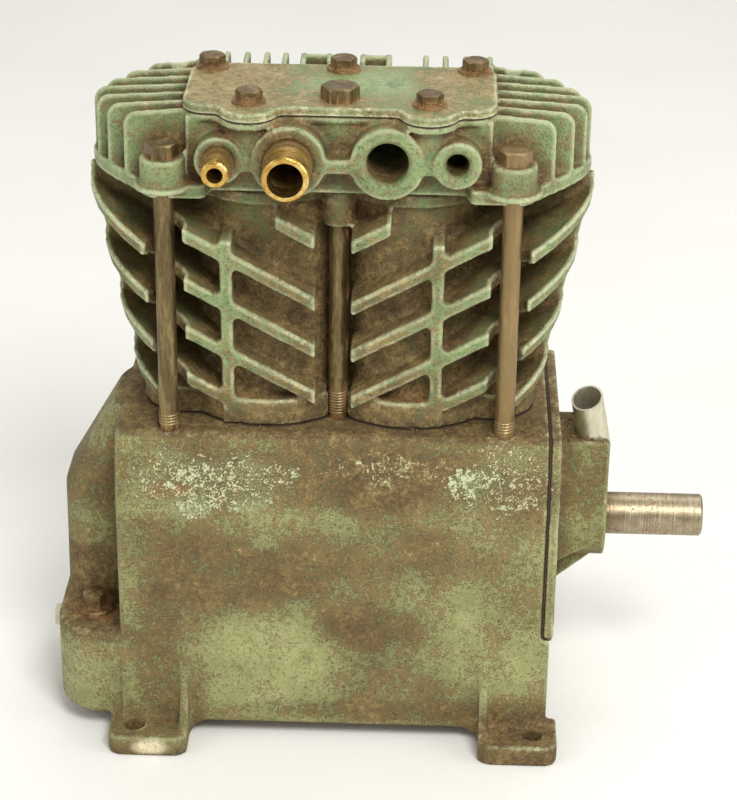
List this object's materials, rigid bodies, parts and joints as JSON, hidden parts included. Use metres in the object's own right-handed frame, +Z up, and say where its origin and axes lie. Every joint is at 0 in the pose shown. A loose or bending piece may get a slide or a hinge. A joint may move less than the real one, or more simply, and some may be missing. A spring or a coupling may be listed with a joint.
{
  "type": "air compressor pump",
  "caption": "Bare two-cylinder piston air compressor pump: iron crankcase on feet, finned cylinder block and head, brass outlet stubs, drive shaft, vent tube.",
  "frame": {"origin": "middle of the four foot bolts, on the surface the feet stand on", "axes": "+X along the crankshaft towards its drive end, +Y to the back, away from the ports, +Z up along the cylinders"},
  "size_m": [0.3942, 0.194, 0.3995],
  "materials": {
    "case_paint": "old sage green enamel over sand-cast iron, brown grime and rust, matt",
    "block_paint": "green enamel worn through to brown oily iron between the fins, matt",
    "head_paint": "mint green enamel, rubbed bright on the edges, satin",
    "cover_paint": "green paint under brown oily film, satin",
    "dark_bolt": "dark rusty steel, matt",
    "rod_steel": "brown oxidised steel with streaks",
    "bright_steel": "turned bright steel with rust spots",
    "tube_steel": "satin plated steel",
    "brass": "bright at the tip, brown at the root",
    "gasket": "oily gasket fibre, matt",
    "seal_rubber": "oil seal rubber, satin",
    "bearing_steel": "ground bearing steel",
    "piston_alloy": "machined alloy",
    "forged_steel": "forged and machined steel",
    "bare_iron": "machined grey iron"
  },
  "bodies": {
    "compressor": {"crankcase": "case_paint", "end_housing": "case_paint", "end_housing_gasket": "gasket", "end_housing_screws": "dark_bolt", "breather_tube": "tube_steel", "shaft_seal": "seal_rubber", "cylinder_block": "block_paint", "base_gasket": "gasket", "head_gasket": "gasket", "cylinder_head": "head_paint", "cover_gasket": "gasket", "head_cover": "cover_paint", "cover_bolts": "dark_bolt", "cover_washers": "dark_bolt", "tie_bolts": "rod_steel", "centre_tie_bolts": "rod_steel", "discharge_nipple": "brass", "pilot_nipple": "brass", "oil_fill_plug": "dark_bolt", "oil_drain_plug": "tube_steel", "inlet_valve_guards": "bare_iron", "discharge_valve_guards": "bare_iron", "drive_bearing_outer_race": "bearing_steel", "blind_bearing_outer_race": "bearing_steel", "inlet_valve_spring_1": "bearing_steel", "inlet_valve_spring_2": "bearing_steel", "discharge_valve_spring_1": "bearing_steel", "discharge_valve_spring_2": "bearing_steel"},
    "crankshaft_assembly": {"crankshaft_drive_end": "bright_steel", "crankshaft_middle": "forged_steel", "crankshaft_blind_end": "forged_steel", "drive_bearing_inner_race": "bearing_steel", "drive_bearing_balls": "bearing_steel", "drive_bearing_cage": "bearing_steel", "blind_bearing_inner_race": "bearing_steel", "blind_bearing_balls": "bearing_steel", "blind_bearing_cage": "bearing_steel"},
    "piston_assembly_1": {"piston_1": "piston_alloy", "piston_rings_1": "bare_iron", "wrist_pin_1": "forged_steel", "wrist_pin_clips_1": "forged_steel"},
    "rod_assembly_1": {"connecting_rod_1": "forged_steel", "rod_cap_1": "forged_steel", "rod_bolts_1": "forged_steel", "crankpin_1": "forged_steel"},
    "inlet_disc_1": {"inlet_valve_disc_1": "bearing_steel"},
    "discharge_disc_1": {"discharge_valve_disc_1": "bearing_steel"},
    "piston_assembly_2": {"piston_2": "piston_alloy", "piston_rings_2": "bare_iron", "wrist_pin_2": "forged_steel", "wrist_pin_clips_2": "forged_steel"},
    "rod_assembly_2": {"connecting_rod_2": "forged_steel", "rod_cap_2": "forged_steel", "rod_bolts_2": "forged_steel", "crankpin_2": "forged_steel"},
    "inlet_disc_2": {"inlet_valve_disc_2": "bearing_steel"},
    "discharge_disc_2": {"discharge_valve_disc_2": "bearing_steel"}
  },
  "joints": [
    {"name": "crankshaft_spin", "type": "hinge", "parent": "compressor", "child": "crankshaft_assembly", "pos_m": [0, 0, 0.1195], "axis": [1, 0, 0], "continuous": true},
    {"name": "piston_1_slide", "type": "slide", "parent": "compressor", "child": "piston_assembly_1", "axis": [0, 0, 1], "range_m": [-0.057, 0]},
    {"name": "piston_2_slide", "type": "slide", "parent": "compressor", "child": "piston_assembly_2", "axis": [0, 0, 1], "range_m": [0, 0.057]},
    {"name": "rod_1_swing", "type": "hinge", "parent": "piston_assembly_1", "child": "rod_assembly_1", "pos_m": [-0.0415, 0, 0.3014], "axis": [1, 0, 0], "range_deg": [-10.6, 10.6]},
    {"name": "rod_2_swing", "type": "hinge", "parent": "piston_assembly_2", "child": "rod_assembly_2", "pos_m": [0.0415, 0, 0.2444], "axis": [1, 0, 0], "range_deg": [-10.6, 10.6]},
    {"name": "discharge_valve_1_lift", "type": "slide", "parent": "compressor", "child": "discharge_disc_1", "axis": [0, 0, 1], "range_m": [0, 0.0016], "stiffness_N_per_m": 200, "springref_m": -0.0002, "deforming": ["discharge_valve_spring_1"]},
    {"name": "inlet_valve_1_drop", "type": "slide", "parent": "compressor", "child": "inlet_disc_1", "axis": [0, 0, -1], "range_m": [0, 0.0016], "stiffness_N_per_m": 200, "springref_m": -0.0002, "deforming": ["inlet_valve_spring_1"]},
    {"name": "discharge_valve_2_lift", "type": "slide", "parent": "compressor", "child": "discharge_disc_2", "axis": [0, 0, 1], "range_m": [0, 0.0016], "stiffness_N_per_m": 200, "springref_m": -0.0002, "deforming": ["discharge_valve_spring_2"]},
    {"name": "inlet_valve_2_drop", "type": "slide", "parent": "compressor", "child": "inlet_disc_2", "axis": [0, 0, -1], "range_m": [0, 0.0016], "stiffness_N_per_m": 200, "springref_m": -0.0002, "deforming": ["inlet_valve_spring_2"]}
  ],
  "couplings": [
    {"joint": "piston_2_slide", "follows": "piston_1_slide", "ratio": -1},
    {"joint": "rod_2_swing", "follows": "rod_1_swing", "ratio": -1}
  ]
}
